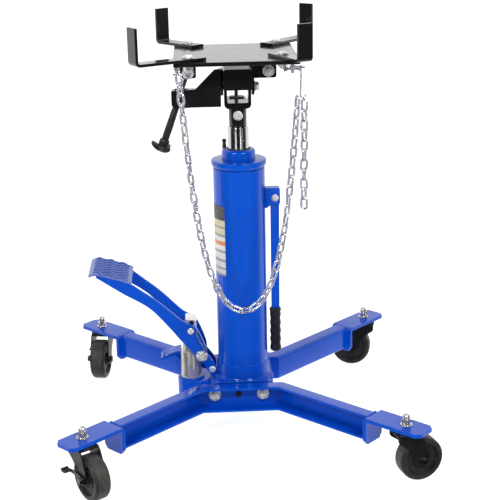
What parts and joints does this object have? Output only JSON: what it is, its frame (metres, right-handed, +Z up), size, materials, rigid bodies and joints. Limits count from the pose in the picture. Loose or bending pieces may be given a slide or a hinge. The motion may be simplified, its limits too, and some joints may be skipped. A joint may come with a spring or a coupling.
{
  "type": "transmission jack",
  "caption": "Foot-pumped telescopic hydraulic transmission jack on swivel casters, with a tilting saddle, load chain, foot pedals and a fold-down pull handle.",
  "frame": {"origin": "bottom centre of the whole object, on the floor", "axes": "+Z up along the rams, +X to the right of someone facing the load chain, +Y away from them towards the rear channel; the foot pedal is on the -X side"},
  "size_m": [0.7562, 0.723, 0.888],
  "materials": {
    "blue_paint": "gloss",
    "black_paint": "gloss",
    "black_rubber": "matte",
    "knob_plastic": "satin",
    "zinc": "zinc plated",
    "steel": "satin",
    "chrome": "polished"
  },
  "bodies": {
    "base": {"front_frame": "blue_paint", "rear_frame": "blue_paint", "pump_base": "blue_paint", "pedal_bracket": "blue_paint", "reservoir_tube": "blue_paint", "reservoir_cap": "blue_paint", "gland_collar": "blue_paint", "pressure_cylinder": "steel", "pump_cylinder": "chrome", "pedal_pivot_near": "chrome", "pedal_pivot_far": "chrome", "handle_bracket": "blue_paint", "handle_bolt": "chrome", "kingpin_fl": "chrome", "kingpin_fr": "chrome", "kingpin_rl": "chrome", "kingpin_rr": "chrome"},
    "fork_fl": {"caster_fork_fl": "black_paint"},
    "wheel_fl": {"caster_wheel_fl": "black_rubber"},
    "brake_fl": {"brake_lever_fl": "black_paint"},
    "fork_fr": {"caster_fork_fr": "black_paint"},
    "wheel_fr": {"caster_wheel_fr": "black_rubber"},
    "fork_rl": {"caster_fork_rl": "black_paint"},
    "wheel_rl": {"caster_wheel_rl": "black_rubber"},
    "brake_rl": {"brake_lever_rl": "black_paint"},
    "fork_rr": {"caster_fork_rr": "black_paint"},
    "wheel_rr": {"caster_wheel_rr": "black_rubber"},
    "outer_ram": {"outer_ram": "chrome"},
    "inner_ram": {"inner_ram": "chrome", "post_sleeve": "black_paint", "post_bolt": "chrome", "yoke": "black_paint", "pitch_bolt": "chrome"},
    "tilt": {"tilt_box": "black_paint", "bracket_arm": "black_paint", "roll_bolt": "chrome"},
    "saddle": {"saddle_plate": "black_paint", "saddle_ear": "black_paint", "saddle_lug": "black_paint"},
    "arm_fl": {"saddle_arm_fl": "black_paint"},
    "arm_rl": {"saddle_arm_rl": "black_paint"},
    "arm_fr": {"saddle_arm_fr": "black_paint"},
    "arm_rr": {"saddle_arm_rr": "black_paint"},
    "roll_barrel": {"roll_barrel": "chrome"},
    "roll_swivel": {"roll_swivel": "steel"},
    "roll_screw": {"roll_screw": "knob_plastic"},
    "pitch_barrel": {"pitch_barrel": "steel"},
    "pitch_swivel": {"pitch_swivel": "steel"},
    "pitch_screw": {"pitch_screw": "knob_plastic"},
    "chain": {"chain": "zinc", "chain_tail": "zinc", "chain_hook": "zinc"},
    "pedal": {"pedal_arm_near": "blue_paint", "pedal_arm_far": "blue_paint", "pedal_pad": "blue_paint", "pedal_pin": "chrome"},
    "plunger": {"pump_plunger": "chrome"},
    "release": {"release_pedal": "blue_paint"},
    "handle": {"handle_bar": "blue_paint", "handle_grip": "black_rubber"}
  },
  "joints": [
    {"name": "caster_swivel_fl", "type": "hinge", "parent": "base", "child": "fork_fl", "pos_m": [-0.33108, -0.29317, 0.102], "axis": [0, 0, 1], "continuous": true},
    {"name": "wheel_spin_fl", "type": "hinge", "parent": "fork_fl", "child": "wheel_fl", "pos_m": [-0.31444, -0.31692, 0.046], "axis": [0.8192, 0.5736, 0], "continuous": true},
    {"name": "brake_press_fl", "type": "hinge", "parent": "fork_fl", "child": "brake_fl", "pos_m": [-0.31444, -0.31692, 0.046], "axis": [-0.8192, -0.5736, 0], "range_deg": [0, 12]},
    {"name": "caster_swivel_fr", "type": "hinge", "parent": "base", "child": "fork_fr", "pos_m": [0.30274, -0.29317, 0.102], "axis": [0, 0, 1], "continuous": true},
    {"name": "wheel_spin_fr", "type": "hinge", "parent": "fork_fr", "child": "wheel_fr", "pos_m": [0.33062, -0.28517, 0.046], "axis": [-0.2756, 0.9613, 0], "continuous": true},
    {"name": "caster_swivel_rl", "type": "hinge", "parent": "base", "child": "fork_rl", "pos_m": [-0.33108, 0.31496, 0.102], "axis": [0, 0, 1], "continuous": true},
    {"name": "wheel_spin_rl", "type": "hinge", "parent": "fork_rl", "child": "wheel_rl", "pos_m": [-0.33611, 0.2864, 0.046], "axis": [0.9848, -0.1736, 0], "continuous": true},
    {"name": "brake_press_rl", "type": "hinge", "parent": "fork_rl", "child": "brake_rl", "pos_m": [-0.33611, 0.2864, 0.046], "axis": [-0.9848, 0.1736, 0], "range_deg": [0, 12]},
    {"name": "caster_swivel_rr", "type": "hinge", "parent": "base", "child": "fork_rr", "pos_m": [0.30274, 0.31496, 0.102], "axis": [0, 0, 1], "continuous": true},
    {"name": "wheel_spin_rr", "type": "hinge", "parent": "fork_rr", "child": "wheel_rr", "pos_m": [0.27438, 0.32099, 0.046], "axis": [-0.2079, -0.9781, 0], "continuous": true},
    {"name": "outer_ram_lift", "type": "slide", "parent": "base", "child": "outer_ram", "axis": [0, 0, 1], "range_m": [0, 0.37]},
    {"name": "inner_ram_lift", "type": "slide", "parent": "outer_ram", "child": "inner_ram", "axis": [0, 0, 1], "range_m": [0, 0.38]},
    {"name": "saddle_pitch", "type": "hinge", "parent": "inner_ram", "child": "tilt", "pos_m": [-0.00417, 0.0109, 0.744], "axis": [1, 0, 0], "range_deg": [-8, 10]},
    {"name": "saddle_roll", "type": "hinge", "parent": "tilt", "child": "saddle", "pos_m": [0.05683, 0.0109, 0.784], "axis": [0, 1, 0], "range_deg": [-3.5, 3.5]},
    {"name": "arm_swing_fl", "type": "hinge", "parent": "saddle", "child": "arm_fl", "pos_m": [-0.10217, -0.0931, 0.817], "axis": [0, 0, 1], "range_deg": [-35, 35]},
    {"name": "arm_swing_rl", "type": "hinge", "parent": "saddle", "child": "arm_rl", "pos_m": [-0.10217, 0.1149, 0.817], "axis": [0, 0, 1], "range_deg": [-35, 35]},
    {"name": "arm_swing_fr", "type": "hinge", "parent": "saddle", "child": "arm_fr", "pos_m": [0.08383, -0.0731, 0.817], "axis": [0, 0, 1], "range_deg": [-35, 35]},
    {"name": "arm_swing_rr", "type": "hinge", "parent": "saddle", "child": "arm_rr", "pos_m": [0.08183, 0.1149, 0.817], "axis": [0, 0, 1], "range_deg": [-35, 35]},
    {"name": "roll_barrel_turn", "type": "hinge", "parent": "saddle", "child": "roll_barrel", "pos_m": [-0.10317, -0.0341, 0.784], "axis": [0, 1, 0], "range_deg": [-12, 12]},
    {"name": "roll_swivel_turn", "type": "hinge", "parent": "tilt", "child": "roll_swivel", "pos_m": [-0.11917, -0.0341, 0.741], "axis": [0, 1, 0], "range_deg": [-8, 8]},
    {"name": "roll_screw_spin", "type": "hinge", "parent": "roll_swivel", "child": "roll_screw", "pos_m": [-0.10317, -0.0341, 0.784], "axis": [-0.3504, 0, -0.9366], "continuous": true},
    {"name": "pitch_barrel_turn", "type": "hinge", "parent": "tilt", "child": "pitch_barrel", "pos_m": [-0.00417, 0.0649, 0.762], "axis": [1, 0, 0], "range_deg": [-12, 12]},
    {"name": "pitch_swivel_turn", "type": "hinge", "parent": "inner_ram", "child": "pitch_swivel", "pos_m": [-0.00417, 0.0699, 0.706], "axis": [1, 0, 0], "range_deg": [-6, 6]},
    {"name": "pitch_screw_spin", "type": "hinge", "parent": "pitch_swivel", "child": "pitch_screw", "pos_m": [-0.00417, 0.0649, 0.762], "axis": [0, 0.0889, -0.996], "continuous": true},
    {"name": "chain_hang", "type": "hinge", "parent": "saddle", "child": "chain", "pos_m": [-0.00417, -0.1251, 0.798], "axis": [1, 0, 0], "range_deg": [-12, 12]},
    {"name": "pedal_press", "type": "hinge", "parent": "base", "child": "pedal", "pos_m": [-0.09377, 0.0149, 0.168], "axis": [0, -1, 0], "range_deg": [0, 15], "stiffness_Nm_per_rad": 25, "springref_deg": -17.19},
    {"name": "plunger_stroke", "type": "slide", "parent": "base", "child": "plunger", "axis": [0, 0, -1], "range_m": [0, 0.0081]},
    {"name": "release_press", "type": "hinge", "parent": "base", "child": "release", "pos_m": [-0.09617, 0.0639, 0.096], "axis": [0, -1, 0], "range_deg": [0, 10], "stiffness_Nm_per_rad": 2.5, "springref_deg": -17.19},
    {"name": "handle_fold", "type": "hinge", "parent": "base", "child": "handle", "pos_m": [0.06983, 0.0109, 0.512], "axis": [0, -1, 0], "range_deg": [0, 95]}
  ],
  "couplings": [
    {"joint": "roll_barrel_turn", "follows": "saddle_roll", "ratio": -2.25},
    {"joint": "roll_swivel_turn", "follows": "saddle_roll", "ratio": -1.25},
    {"joint": "pitch_barrel_turn", "follows": "saddle_pitch", "ratio": -0.76},
    {"joint": "pitch_swivel_turn", "follows": "saddle_pitch", "ratio": 0.24},
    {"joint": "chain_hang", "follows": "saddle_pitch", "ratio": -1},
    {"joint": "plunger_stroke", "follows": "pedal_press", "m_per_rad": 0.03}
  ]
}
